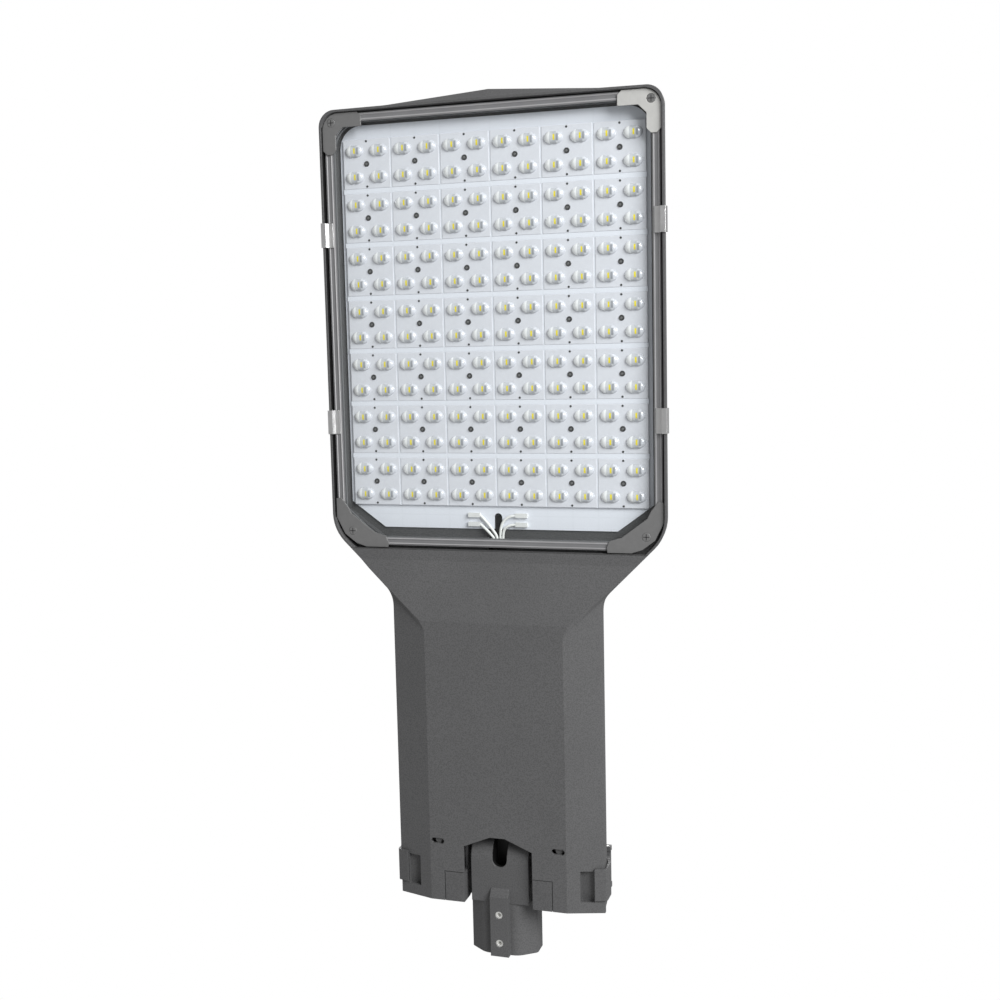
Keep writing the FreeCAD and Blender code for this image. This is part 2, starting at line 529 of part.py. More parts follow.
# Corner brackets that hold the gasket, with a countersunk screw each
low = value["gasket_front"] - value["bracket_thick"]
topX, topY = value["screw_top_x"], value["screw_top_y"]
lowX, lowY = value["screw_low_x"], value["screw_low_y"]
topLine = [(topX - 31, topY - 4.7), (topX - 31, topY + 5), (topX - 27, topY + 8.9),
           (topX - 5, topY + 8.9), (topX + 0.7, topY + 7.1), (topX + 4.3, topY + 4.3),
           (topX + 7.1, topY + 0.7), (topX + 9.1, topY - 5), (topX + 9.1, topY - 26),
           (topX + 5, topY - 30.1), (topX - 0.4, topY - 30.1), (topX - 4.4, topY - 26),
           (topX - 4.4, topY - 12), (topX - 12, topY - 4.7)]
lowLine = [(lowX + 16.6, lowY + 32.3), (lowX + 16.6, lowY + 13.3), (lowX + 8.2, lowY - 3.2),
           (lowX - 3.6, lowY - 12.1), (lowX - 14.4, lowY - 15.7), (lowX - 37.2, lowY - 15.7),
           (lowX - 37.9, lowY - 10.7), (lowX - 35.4, lowY - 4.7), (lowX - 23.4, lowY - 1),
           (lowX + 1.1, lowY + 17.3), (lowX + 4.6, lowY + 24.3), (lowX + 11.6, lowY + 33.3)]
screws = []
for name, line, x, y in (("bracket_top", topLine, topX, topY), ("bracket_low", lowLine, lowX, lowY)):
    fixing = screw(x, y, low, value["screw_length"], value["screw_shank"], value["screw_head"])
    plate = prism(line, low, value["bracket_thick"]).cut(
        Part.makeCylinder(value["screw_head"], value["bracket_thick"] * 2, place(x, y, low - 1)))
    ring = Part.makeCylinder(value["screw_head"], value["bracket_thick"], place(x, y, low))
    plate = plate.fuse(ring.cut(fixing)).removeSplitter()
    solidNode(name + "_right", plate)
    solidNode(name + "_left", mirrored(plate))
    screws += [fixing, mirrored(fixing)]
solidNode("bracket_screws", Part.makeCompound(screws))

# Spring clips that press the gasket and hook over the rim
thick, clear = value["clip_thick"], value["clip_clear"]
inner, edge = value["clip_inner"], value["half_width"] + clear
lip, over = value["gasket_front"] - clear, value["rim_front"] - clear
rimIn = value["half_width"] - value["rim_wall"]
strip = [(inner, lip), (rimIn - 2, lip), (rimIn - 1, over), (edge, over),
         (edge, over + value["clip_drop"]), (edge + thick, over + value["clip_drop"]),
         (edge + thick, over - thick), (rimIn - 1 - thick, over - thick),
         (rimIn - 2 - thick, lip - thick), (inner, lip - thick)]
clips = []
for middle in (value["clip_nose_y"], value["clip_tail_y"]):
    clip = sideProfile(strip, middle - value["clip_long"] / 2, value["clip_long"])
    clips += [clip, mirrored(clip)]
solidNode("spring_clips", Part.makeCompound(clips))

# Lens modules: a plate with four oval domes over the led chips
face = value["tray_floor"] - value["board_thick"]
long, wide, thickness = value["plate_long"] / 2, value["plate_wide"] / 2, value["plate_thick"]
plateLow = face - thickness
gap = value["recess_edge"]
plate = Part.makeBox(long * 2, wide * 2, thickness, place(-long, -wide, plateLow)).cut(
    Part.makeBox((long - gap) * 2, (wide - gap) * 2, value["recess_deep"],
                 place(-long + gap, -wide + gap, face - value["recess_deep"])))
count = int(value["lens_faces"])


def oval(cx, cy, share, level):
    turns = [2 * math.pi * (i + 0.5) / count for i in range(count)]
    loop = [place(cx + math.cos(a) * value["lens_long"] / 2 * share,
                  cy + math.sin(a) * value["lens_wide"] / 2 * share, level) for a in turns]
    return loop


spots = [(sx * value["lens_spread"], sy * value["lens_spread"]) for sx in (-1, 1) for sy in (-1, 1)]
chip = value["chip_side"]
for cx, cy in spots:
    plate = plate.fuse(flatSided([oval(cx, cy, 1, plateLow), oval(
        cx, cy, value["lens_crown"], plateLow - value["lens_tall"])]))
plate = plate.removeSplitter()
modules, chips = [], []
cols, rows = int(value["module_cols"]), int(value["module_rows"])
fieldMiddle = (value["board_nose"] + value["board_tail"]) / 2 + value["field_reach"]
for col in range(cols):
    for row in range(rows):
        x = (col - (cols - 1) / 2) * value["col_pitch"]
        y = fieldMiddle + (row - (rows - 1) / 2) * value["row_pitch"]
        modules.append(plate.translated(place(x, y, 0)))
        chips += [Part.makeBox(chip, chip, value["chip_tall"], place(
            x + cx - chip / 2, y + cy - chip / 2, face - value["chip_tall"])) for cx, cy in spots]
solidNode("lens_modules", Part.makeCompound(modules))
solidNode("led_chips", Part.makeCompound(chips))

# Board terminals and the four leads that run from them through the cross wall
tall = value["terminal_tall"]
terminals, leads = [], []


def tube(points, radius):
    """Straight runs joined by the largest tangent arcs, swept by a round section."""
    edges, last = [], points[0]
    for before, corner, after in zip(points, points[1:], points[2:]):
        back, ahead = (before - corner), (after - corner)
        reach = 0.45 * min(back.Length, ahead.Length)
        back, ahead = back.normalize(), ahead.normalize()
        half = back.getAngle(ahead) / 2
        bend = reach * math.tan(half)
        middle = corner + (back + ahead).normalize() * (bend / math.sin(half) - bend)
        edges += [Part.LineSegment(last, corner + back * reach).toShape(),
                  Part.Arc(corner + back * reach, middle, corner + ahead * reach).toShape()]
        last = corner + ahead * reach
    edges.append(Part.LineSegment(last, points[-1]).toShape())
    along = (points[1] - points[0]).normalize()
    aside = along.cross(Vector(0, 0, 1)).normalize()
    other = along.cross(aside)
    turns = [math.pi * i / 3 for i in range(6)]
    loop = [points[0] + aside * radius * math.cos(a) + other * radius * math.sin(a) for a in turns]
    ring = Part.makePolygon(loop + loop[:1])
    return Part.Wire(edges).makePipeShell([ring], True, False)


for side in (-1, 1):
    for up, finish in ((value["terminal_near"], 2.6), (value["terminal_far"], 5.6)):
        x = side * value["terminal_x"]
        terminals.append(Part.makeBox(value["terminal_long"], value["terminal_wide"], tall, place(
            x - value["terminal_long"] / 2, up - value["terminal_wide"] / 2, face - tall)))
        start = side * (value["terminal_x"] - value["terminal_long"] / 2)
        end = value["wire_hole_y"]
        level, run = face - value["wire_radius"] - clear, value["wire_run"]
        lift = level - value["wire_rise"]
        leads.append(tube([
            place(start, up, level), place(start - side * run, up, level),
            place(side * (finish + run / 2), up - run * 1.5, lift),
            place(side * finish, end + run, lift),
            place(side * finish, end - run / 2, level)], value["wire_radius"]))
solidNode("board_terminals", Part.makeCompound(terminals))
solidNode("board_wires", Part.makeCompound(leads))

# Pivot bolt with its nut and washers, and the set screws that clamp the arm
pivotY, pivotZ = value["pivot_y"], value["pivot_z"]
wall = value["pocket_half"] + value["pocket_wall"]
washer, nutTall = value["washer_thick"], value["bolt_head_tall"]
across = Vector(1, 0, 0)


def pinRound(radius, start, length):
    return Part.makeCylinder(radius, length, place(start, pivotY, pivotZ), across)


def washerAt(start):
    disc = stub(value["washer_radius"], washer, place(start, pivotY, pivotZ), across)
    return disc.cut(pinRound(value["bolt_radius"] + value["bolt_clear"], start - 1, washer + 2))


def hexagon(start, length):
    turns = [math.pi * i / 3 for i in range(6)]
    loop = [place(start, pivotY + value["bolt_head"] * math.cos(a),
                  pivotZ + value["bolt_head"] * math.sin(a)) for a in turns]
    return Part.Face(Part.makePolygon(loop + loop[:1])).extrude(place(length, 0, 0))


reach = wall + washer + nutTall
solidNode("pivot_bolt", pinRound(value["bolt_radius"], -wall - washer, wall + washer + reach).fuse(
    hexagon(-reach, nutTall)).removeSplitter())
solidNode("pivot_nut", hexagon(wall + washer, nutTall).cut(
    pinRound(value["bolt_radius"], 0, reach + 1)))
solidNode("pivot_washers", Part.makeCompound([washerAt(-wall - washer), washerAt(wall)]))
setLow = value["rib_face"] + 1
solidNode("set_screws", Part.makeCompound([
    Part.makeCylinder(value["set_radius"], value["set_length"], place(0, y, setLow)).cut(
        prism([(value["set_radius"] / 2 * math.cos(math.pi * i / 3),
                y + value["set_radius"] / 2 * math.sin(math.pi * i / 3)) for i in range(6)],
              setLow - 1, value["set_length"] / 2 + 1))
    for y in (value["set_near"], value["set_far"])]))

# Side latches that hook over the cover, on pins between the housing's ears
clear, thick = value["latch_clear"], value["latch_thick"]
edge = value["box_half"] + clear
slope = (value["cover_edge"] - value["plateau_level"]) / (value["box_half"] - value["plateau_half"])
hookLow = value["cover_edge"] - (value["box_half"] - value["latch_hook"]) * slope - clear
start = value["latch_middle"] - value["latch_long"] / 2
pinX, pinZ, eye = value["latch_pin_x"], value["latch_pin_z"], value["latch_eye"]
belt, tray = value["belt_level"], value["tray_top"]
strap = [(edge, value["cover_edge"] - clear), (value["latch_hook"], hookLow),
         (value["latch_hook"], hookLow - thick), (edge + thick / 2, value["cover_edge"] - thick),
         (edge + thick, value["cover_edge"]), (edge + thick, belt),
         (edge + thick - value["tray_draw"], tray), (pinX + eye, pinZ), (pinX, pinZ),
         (pinX - eye / 2, pinZ - eye * 1.2), (edge - value["tray_draw"] + clear, tray),
         (edge - value["belt_draw"] + clear, belt), (edge, value["rim_front"] + clear)]
latch = sideProfile(strap, start, value["latch_long"]).fuse(Part.makeCylinder(
    eye, value["latch_long"], place(pinX, start, pinZ), Vector(0, 1, 0)))
latch = latch.cut(Part.makeCylinder(value["latch_pin"] + value["pin_clear"],
                                    value["latch_long"] + 2, place(pinX, start - 1, pinZ),
                                    Vector(0, 1, 0))).removeSplitter()
solidNode("latch_right", latch)
solidNode("latch_left", mirrored(latch))
ear = value["ear_long"] + value["ear_gap"]
pin = Part.makeCylinder(value["latch_pin"], value["latch_long"] + ear * 2,
                        place(pinX, start - ear, pinZ), Vector(0, 1, 0))
solidNode("latch_pins", Part.makeCompound([pin, mirrored(pin)]))

# Gear inside the driver box, all hung from the roof
roof = value["roof_level"] - value["roof_wall"]


def gear(name, edges=True):
    x, y = value[name + "_x"], value[name + "_y"]
    size = [value[name + end] for end in ("_wide", "_long", "_tall")]
    case = Part.makeBox(size[0], size[1], size[2], place(
        x - size[0] / 2, y - size[1] / 2, roof - size[2]))
    return case.makeFillet(2, [e for e in case.Edges if e.BoundBox.ZLength > 5]) if edges else case


tab, upward = value["tab_long"], Vector(0, 0, 1)
driver, driverScrews = gear("driver"), []
for end in (-1, 1):
    y = value["driver_y"] + end * (value["driver_long"] + tab) / 2
    half = value["driver_wide"] / 2
    driver = driver.fuse(Part.makeBox(half * 2, tab, value["tab_thick"], place(
        value["driver_x"] - half, y - tab / 2, roof - value["tab_thick"])))
    for sideways in (-1, 1):
        x = value["driver_x"] + sideways * (half - tab)
        top = roof - value["tab_thick"]
        head, stem = place(x, y, top - value["small_screw"]), place(x, y, top)
        driver = driver.cut(stub(value["small_screw"], value["tab_thick"], stem, upward))
        driverScrews.append(stub(value["small_head"], value["small_screw"], head, upward).fuse(
            stub(value["small_screw"], value["tab_thick"], stem, upward)))
solidNode("led_driver", driver.removeSplitter())
solidNode("driver_screws", Part.makeCompound(driverScrews))
solidNode("surge_protector", gear("surge"))
solidNode("terminal_block", gear("block"))
glandStart = value["pocket_top"] - value["gland_tall"]
glandEnd = value["pocket_top"] + value["pocket_wall"]
alongY = Vector(0, 1, 0)
gland = stub(value["gland_radius"], glandEnd - glandStart + value["gland_tall"],
             place(0, glandStart, value["gland_z"]), alongY)
for start in (glandStart, glandEnd):
    gland = gland.fuse(stub(value["gland_nut"], value["gland_tall"],
                            place(0, start, value["gland_z"]), alongY))
gland = gland.cut(stub(value["gland_hole"], value["pocket_wall"] * 9,
                       place(0, glandStart - 1, value["gland_z"]), alongY))
solidNode("cable_gland", gland.removeSplitter())
coverScrews = []
for sideways in (-1, 1):
    x, top = sideways * value["slot_x"], value["pillar_top"]
    head, stem = (place(x, value["slot_y"], top - value["small_screw"]),
                  place(x, value["slot_y"], top))
    coverScrews.append(stub(value["small_head"], value["small_screw"], head, upward).fuse(
        stub(value["small_screw"], value["small_length"], stem, upward)))
solidNode("cover_screws", Part.makeCompound(coverScrews))

doc.recompute()
for item in doc.Objects:
    if "Invalid" in item.State or "Error" in item.State:
        raise RuntimeError("failed object: " + item.Label)
os.makedirs("parts", exist_ok=True)
for piece in pieces:
    shape = piece.Shape
    if shape.isNull() or not shape.isValid():
        raise RuntimeError("bad shape: " + piece.Label)
    shape.exportStep(os.path.join("parts", piece.Label + ".step"))
    print(piece.Label, len(shape.Solids), round(shape.Volume))
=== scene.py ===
import bpy
import bmesh
import json
import math
from mathutils import Matrix, Vector


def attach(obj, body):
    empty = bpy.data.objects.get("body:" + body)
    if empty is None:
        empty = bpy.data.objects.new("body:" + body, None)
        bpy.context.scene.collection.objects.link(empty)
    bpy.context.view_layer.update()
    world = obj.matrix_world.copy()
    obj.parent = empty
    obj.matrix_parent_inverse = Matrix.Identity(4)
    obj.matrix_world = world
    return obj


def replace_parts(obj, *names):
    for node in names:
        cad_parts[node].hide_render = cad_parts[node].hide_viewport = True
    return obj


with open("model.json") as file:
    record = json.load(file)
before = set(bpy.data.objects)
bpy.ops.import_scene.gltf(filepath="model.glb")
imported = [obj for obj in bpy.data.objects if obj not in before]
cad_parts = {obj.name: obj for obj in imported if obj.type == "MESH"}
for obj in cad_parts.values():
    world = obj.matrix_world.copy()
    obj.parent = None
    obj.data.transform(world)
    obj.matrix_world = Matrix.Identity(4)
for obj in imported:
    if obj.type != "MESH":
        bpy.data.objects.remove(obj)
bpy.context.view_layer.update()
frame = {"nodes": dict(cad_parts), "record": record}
mm = 0.001  # pieces are given in millimetres, finishes in metres


# Camera: looks up at the lamp side from beyond the head's left edge
view = {"spot": (-388.0, 602.6, -1223.6), "right": (-0.95358, -0.02218, 0.30034),
        "up": (0.01403, 0.99293, 0.11788), "back": (-0.30083, 0.11662, -0.94652),
        "lens": 47.568, "sensor": 36.0}
cameraData = bpy.data.cameras.new("camera")
cameraData.lens, cameraData.sensor_width = view["lens"], view["sensor"]
cameraData.clip_end = 20
camera = bpy.data.objects.new("camera", cameraData)
turn = Matrix((view["right"], view["up"], view["back"])).transposed().to_4x4()
camera.matrix_world = Matrix.Translation(Vector(view["spot"]) * mm) @ turn
bpy.context.collection.objects.link(camera)
scene = bpy.context.scene
scene.camera = camera
scene.view_settings.view_transform = "Standard"
print("camera placed")


# Shader sockets that take part in sums, and a material that adds nodes
class Sock:
    def __init__(self, shader, socket):
        self.shader, self.socket = shader, socket

    def maths(self, operation, first, second):
        return self.shader.node("Math", {"operation": operation}, {0: first, 1: second})

    def __add__(self, other):
        return self.maths("ADD", self, other)

    def __sub__(self, other):
        return self.maths("SUBTRACT", self, other)

    def __mul__(self, other):
        return self.maths("MULTIPLY", self, other)

    def __rsub__(self, other):
        return self.maths("SUBTRACT", other, self)

    __radd__, __rmul__ = __add__, __mul__


class Shader:
    def __init__(self, name):
        self.material = bpy.data.materials.new(name)
        self.material.use_nodes = True
        self.tree = self.material.node_tree
        self.surface = self.tree.nodes["Principled BSDF"]

    def node(self, kind, settings=None, values=None, output=0):
        added = self.tree.nodes.new("ShaderNode" + kind)
        for key, setting in (settings or {}).items():
            setattr(added, key, setting)
        for key, given in (values or {}).items():
            self.feed(added.inputs[key], given)
        return Sock(self, added.outputs[output])

    def feed(self, socket, given):
        if isinstance(given, Sock):
            self.tree.links.new(given.socket, socket)
        else:
            socket.default_value = given

    def finish(self, **inputs):
        for key, given in inputs.items():
            self.feed(self.surface.inputs[key.replace("_", " ")], given)
        return self.material

    def place(self):
        return self.node("TexCoord", output=3)

    def noise(self, scale, detail=3.0, rough=0.5):
        return self.node("TexNoise", {}, {"Vector": self.place(), "Scale": scale,
                                          "Detail": detail, "Roughness": rough})

    def blend(self, factor, first, second):
        return self.node("Mix", {"data_type": "RGBA"}, {0: factor, 6: first, 7: second}, 2)

    def contrast(self, amount, low, high, start=0.0, finish=1.0):
        return self.node("MapRange", {"interpolation_type": "SMOOTHSTEP"}, {
            "Value": amount, "From Min": low, "From Max": high, "To Min": start,
            "To Max": finish})

    def axes(self):
        parts = self.tree.nodes.new("ShaderNodeSeparateXYZ")
        self.feed(parts.inputs[0], self.place())
        return [Sock(self, output) for output in parts.outputs]

    def size(self, amount):
        return self.node("Math", {"operation": "ABSOLUTE"}, {0: amount})

    def within(self, amount, limit, soft):
        return self.contrast(amount, limit - soft, limit + soft, 1.0, 0.0)

    def inBox(self, middle, half, soft):
        inside = 1.0
        for spot, centre, reach in zip(self.axes(), middle, half):
            inside = self.within(self.size(spot - centre), reach, soft) * inside
        return inside

    def bump(self, height, strength, distance=0.0002, edge=0.0):
        values = {"Height": height, "Strength": strength, "Distance": distance}
        if edge:
            values["Normal"] = self.node("Bevel", {"samples": 4}, {"Radius": edge})
        return self.node("Bump", {}, values)


def rgb(level, green=None, blue=None):
    return (level, green if green is not None else level, blue if blue is not None else level, 1)


# Finishes
coat = {"dark": 0.088, "pale": 0.108, "edge": 0.0009, "grain": 900.0, "patch": 14.0,
        "rough": 0.46, "spread": 0.14, "speck": 0.55, "speckLow": 0.42, "speckHigh": 0.62,
        "speckShade": 0.62, "speckBlue": 0.63, "blue": 1.02, "gloss": 0.42, "bump": 0.14,
        "paintedShade": 0.006, "shadeBoxEdge": 0.0002, "coverShare": 1.05, "coverRough": 0.5}
# Painted shade: deep places where the coat's colour turns near black, standing in for shadow in the
# slots and on the rim's inner walls; each a middle and half sizes
shadeBoxes = {
    "boardSlot": ((0.0, 0.427, -0.008), (0.0042, 0.0135, 0.0012)),
    "tongueSlot": ((0.0, 0.102, -0.016), (0.0077, 0.021, 0.0135)),
    "rimLeft": ((0.1645, 0.625, -0.0175), (0.0022, 0.19, 0.0073)),
    "rimRight": ((-0.1645, 0.625, -0.0175), (0.0022, 0.19, 0.0073))}


def powderCoat(name, dark, pale, rough):
    shader = Shader(name)
    patch = shader.noise(coat["patch"], 4)
    grain = shader.noise(coat["grain"], 2)
    tone = shader.blend(patch, rgb(dark, dark, dark * coat["blue"]),
                        rgb(pale, pale, pale * coat["blue"]))
    speck = shader.contrast(grain, coat["speckLow"], coat["speckHigh"]) * coat["speck"]
    shade = dark * coat["speckShade"]
    tone = shader.blend(speck, tone, rgb(shade, shade, dark * coat["speckBlue"]))
    # Painted shade: the coat turns near black inside each of these boxes
    for middle, half in shadeBoxes.values():
        tone = shader.blend(shader.inBox(middle, half, coat["shadeBoxEdge"]), tone,
                            rgb(coat["paintedShade"]))
    return shader.finish(
        Base_Color=tone, Specular_IOR_Level=coat["gloss"],
        Roughness=grain * coat["spread"] + (rough - coat["spread"] / 2),
        Normal=shader.bump(grain, coat["bump"], edge=coat["edge"]))


pane = {"tint": (0.975, 0.985, 0.985, 1), "rough": 0.03, "edgeOn": 0.12, "edgeShare": 0.22,
        "smearScale": 6, "smear": 0.01, "least": 0.012}


def glassFinish():
    shader = Shader("paneGlass")
    smear = shader.noise(pane["smearScale"], 3)
    clear = shader.node("BsdfTransparent", {}, {"Color": pane["tint"]})
    gloss = shader.node("BsdfGlossy", {}, {"Roughness": pane["rough"], "Color": rgb(1)})
    facing = shader.node("LayerWeight", {}, {"Blend": pane["edgeOn"]}, 1)
    weight = facing * pane["edgeShare"] + (smear * pane["smear"] + pane["least"])
    mixed = shader.node("MixShader", {}, {0: weight, 1: clear, 2: gloss})
    out = shader.tree.nodes["Material Output"]
    shader.tree.links.new(mixed.socket, out.inputs["Surface"])
    return shader.material


metalLook = {"shade": 0.82, "spread": 0.2, "bump": 0.08, "edge": 0.0009}


def metal(name, level, rough, coarse, warm=1.0, share=1.0):
    shader = Shader(name)
    line = shader.noise(coarse, 4, 0.7)
    low = level * metalLook["shade"]
    return shader.finish(
        Base_Color=shader.blend(line, rgb(low, low, low * warm), rgb(level, level, level * warm)),
        Metallic=share, Roughness=line * metalLook["spread"] + (rough - metalLook["spread"] / 2),
        Normal=shader.bump(line, metalLook["bump"], edge=metalLook["edge"]))


mouldedLook = {"spread": 0.12, "bump": 0.05, "finer": 9}


def moulded(name, colour, shade, rough, scale=60.0, coatWeight=0.0):
    shader = Shader(name)
    patch = shader.noise(scale, 3)
    return shader.finish(
        Base_Color=shader.blend(patch, shade, colour), Coat_Weight=coatWeight,
        Roughness=patch * mouldedLook["spread"] + (rough - mouldedLook["spread"] / 2),
        Normal=shader.bump(shader.noise(scale * mouldedLook["finer"], 2), mouldedLook["bump"]))


# Lens resin: an opaque dome with colours drawn by place, in metres: the yellow chip in its own
# colour, a painted grey shade on the waist, a painted highlight on the +x lobe, painted shade on
# the -x lobe and a painted dark spot near the -x rim, all standing in for light through clear resin
lensLook = {"pitch": 0.025, "rowPitch": 0.0515, "rowMiddle": 0.625, "spread": 0.0125,
            "chipX": 0.0011, "chipHalf": (0.0009, 0.0026), "chipSoft": (0.0002, 0.0003),
            "rimX": 0.0042, "rimHalf": (0.0011, 0.0034), "rimSoft": (0.0006, 0.0008),
            "rimShare": 0.8, "waist": 0.0031, "waistSoft": 0.0007, "waistLeast": 0.55,
            "sideLow": -0.006, "sideHigh": 0.003, "grain": 520, "rough": 0.06,
            "roughSpread": 0.05, "clear": 0.6, "bump": 0.05, "bumpHigh": 0.0003,
            "shade": (0.46, 0.47, 0.5, 1), "paintedLightLobe": (1.0, 1.0, 1.0, 1),
            "paintedShadeLobe": (0.6, 0.61, 0.65, 1), "rim": (0.2, 0.21, 0.23, 1),
            "chip": (0.92, 0.78, 0.03, 1)}


def lensFinish():
    shader = Shader("lensResin")
    x, y = shader.axes()[:2]

    def fold(amount, pitch):
        return shader.node("Math", {"operation": "FLOORED_MODULO"}, {0: amount, 1: pitch})

    acrossX = fold(x, lensLook["pitch"]) - lensLook["pitch"] / 2
    upY = shader.size(fold(y - (lensLook["rowMiddle"] - lensLook["rowPitch"] / 2),
                           lensLook["rowPitch"]) - lensLook["rowPitch"] / 2) - lensLook["spread"]

    def spot(shift, half, soft):
        return (shader.within(shader.size(acrossX + shift), half[0], soft[0])
                * shader.within(shader.size(upY), half[1], soft[1]))

    wave = shader.noise(lensLook["grain"], 2)
    waist = (shader.within(shader.size(acrossX), lensLook["waist"], lensLook["waistSoft"])
             * (lensLook["waistLeast"] + wave * (1 - lensLook["waistLeast"])))
    rim = spot(lensLook["rimX"], lensLook["rimHalf"], lensLook["rimSoft"])
    chip = spot(lensLook["chipX"], lensLook["chipHalf"], lensLook["chipSoft"])
    side = shader.contrast(acrossX, lensLook["sideLow"], lensLook["sideHigh"])
    # Painted light: the +x lobe white and the -x lobe grey, then the waist and rim spot darkened as
    # painted shade
    colour = shader.blend(side, lensLook["paintedShadeLobe"], lensLook["paintedLightLobe"])
    colour = shader.blend(waist, colour, lensLook["shade"])
    colour = shader.blend(rim * lensLook["rimShare"], colour, lensLook["rim"])
    colour = shader.blend(chip, colour, lensLook["chip"])
    return shader.finish(
        Base_Color=colour, Coat_Weight=lensLook["clear"],
        Roughness=wave * lensLook["roughSpread"] + lensLook["rough"],
        Normal=shader.bump(wave, lensLook["bump"], lensLook["bumpHigh"]))


plateLook = {"low": (0.68, 0.685, 0.73, 1), "high": (0.74, 0.745, 0.79, 1), "grain": 300,
             "rough": 0.16, "roughSpread": 0.08, "clear": 0.3, "bump": 0.05,
             "bumpHigh": 0.0003}


def plateFinish():
    shader = Shader("lensPlate")
    wave = shader.noise(plateLook["grain"], 3)
    return shader.finish(
        Base_Color=shader.blend(wave, plateLook["low"], plateLook["high"]),
        Roughness=wave * plateLook["roughSpread"] + plateLook["rough"],
        Coat_Weight=plateLook["clear"],
        Normal=shader.bump(wave, plateLook["bump"], plateLook["bumpHigh"]))


boardLook = {"line": 0.0006, "col": 0.025, "row": 0.02575, "lane": 0.4, "patch": 0.3,
             "pale": (0.79, 0.805, 0.865, 1), "dark": (0.72, 0.74, 0.79, 1), "grain": 40,
             "rough": 0.28, "roughSpread": 0.1, "bump": 0.15}


def boardFinish():
    shader = Shader("boardMask")
    lane = shader.node("TexBrick", {"offset": 0.0}, {
        "Vector": shader.place(), "Color1": rgb(1), "Color2": rgb(1), "Mortar": rgb(0),
        "Scale": 1.0, "Mortar Size": boardLook["line"], "Brick Width": boardLook["col"],
        "Row Height": boardLook["row"]}, 1)
    patch = shader.noise(boardLook["grain"], 3)
    return shader.finish(
        Base_Color=shader.blend(lane * boardLook["lane"] + patch * boardLook["patch"],
                                boardLook["pale"], boardLook["dark"]),
        Roughness=patch * boardLook["roughSpread"] + boardLook["rough"],
        Normal=shader.bump(lane, boardLook["bump"]))


finishes = {
    "casting": powderCoat("castingCoat", coat["dark"], coat["pale"], coat["rough"]),
    "cover": powderCoat("coverCoat", coat["dark"] * coat["coverShare"],
                        coat["pale"] * coat["coverShare"], coat["coverRough"]),
    "glass": glassFinish(),
    # One grey silicone in two copies: the gasket body darker as painted shade, the ridges lighter
    # as a painted highlight
    "gasket": moulded("gasketShadedSilicone", rgb(0.19, 0.19, 0.195), rgb(0.15, 0.15, 0.155), 0.5),
    "ridge": moulded("gasketRidge", rgb(0.33, 0.33, 0.335), rgb(0.27, 0.27, 0.275), 0.42),
    "bright_steel": metal("satinSteel", 0.86, 0.36, 160),
    "board": boardFinish(),
    "lens": lensFinish(),
    "plate": plateFinish(),
    "bracket": metal("bracketSteel", 0.2, 0.42, 200, share=0.3),
    "highlit_bracket": metal("bracketPaintedHighlight", 0.6, 0.4, 160, 0.97, 0.3),
    "chip": moulded("chipPhosphor", rgb(0.84, 0.68, 0.04), rgb(0.74, 0.56, 0.03), 0.4, 900),
    "terminal": moulded("terminalNylon", rgb(0.8, 0.8, 0.79), rgb(0.7, 0.7, 0.69), 0.4, 300),
    "wire": moulded("wireSheath", rgb(0.86, 0.86, 0.84), rgb(0.76, 0.76, 0.74), 0.45, 300),
    "zinc": metal("zincPlate", 0.85, 0.42, 400, 0.97, 0.5),
    "driver_case": metal("driverCase", 0.5, 0.5, 120),
    "black_plastic": moulded("blackMoulding", rgb(0.035), rgb(0.05), 0.5),
}

# Brackets and screws differ from the material slot's own metal, as in the photo
slotOf = {row["node"]: row["material_slot"] for row in frame["record"]["subparts"]}
for name, part in frame["nodes"].items():
    part.data.materials.clear()
    darker = name in ("bracket_top_right", "bracket_low_left", "bracket_low_right",
                      "bracket_screws", "cover_screws")
    # Painted highlight: the top left bracket takes a lighter copy of the bracket steel, where the
    # light falls on it
    paintedHighlight = name == "bracket_top_left"
    part.data.materials.append(finishes[
        "bracket" if darker else "highlit_bracket" if paintedHighlight else slotOf[name]])
print("finishes set")


def finishPiece(work, name, slot, body, smooth=True, level=35, look=None):
    mesh = bpy.data.meshes.new(name)
    bmesh.ops.recalc_face_normals(work, faces=work.faces)
    work.to_mesh(mesh)
    work.free()
    piece = bpy.data.objects.new(name, mesh)
    bpy.context.collection.objects.link(piece)
    mesh.materials.append(finishes[look or slot])
    for face in mesh.polygons:
        face.use_smooth = smooth
    if smooth:
        mesh.set_sharp_from_angle(angle=math.radians(level))
    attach(piece, body)
    return piece


def addBox(work, low, high, bevel=0.0, segments=2):
    made = bmesh.ops.create_cube(work, size=1.0)["verts"]
    size, middle = Vector(high) - Vector(low), (Vector(high) + Vector(low)) / 2
    bmesh.ops.scale(work, vec=size, verts=made)
    bmesh.ops.translate(work, vec=middle, verts=made)
    if bevel:
        edges = list({edge for vert in made for edge in vert.link_edges})
        bmesh.ops.bevel(work, geom=edges, offset=bevel, segments=segments, profile=0.5,
                        affect="EDGES", material=-1)


# Lens modules: rounded plates with four waisted oval lenses each
lens = {"cols": 6, "rows": 7, "colPitch": 50.0, "rowPitch": 51.5, "middle": 625.0,
        "plateX": 24.4, "plateY": 23.5, "low": -12.0, "high": -10.5, "spread": 12.5,
        "long": 9.3, "wide": 6.4, "tall": 4.2, "waist": 0.12, "rings": 7,
        "around": 20, "seamX": 0.6, "seamY": 2.25, "seamSink": 0.35, "round": 0.6,
        "waistReach": 2.2, "dip": 0.16, "dipReach": 2.5, "back": 0.25}


def moduleSpots():
    for col in range(lens["cols"]):
        for row in range(lens["rows"]):
            yield ((col - (lens["cols"] - 1) / 2) * lens["colPitch"],
                   lens["middle"] + (row - (lens["rows"] - 1) / 2) * lens["rowPitch"])


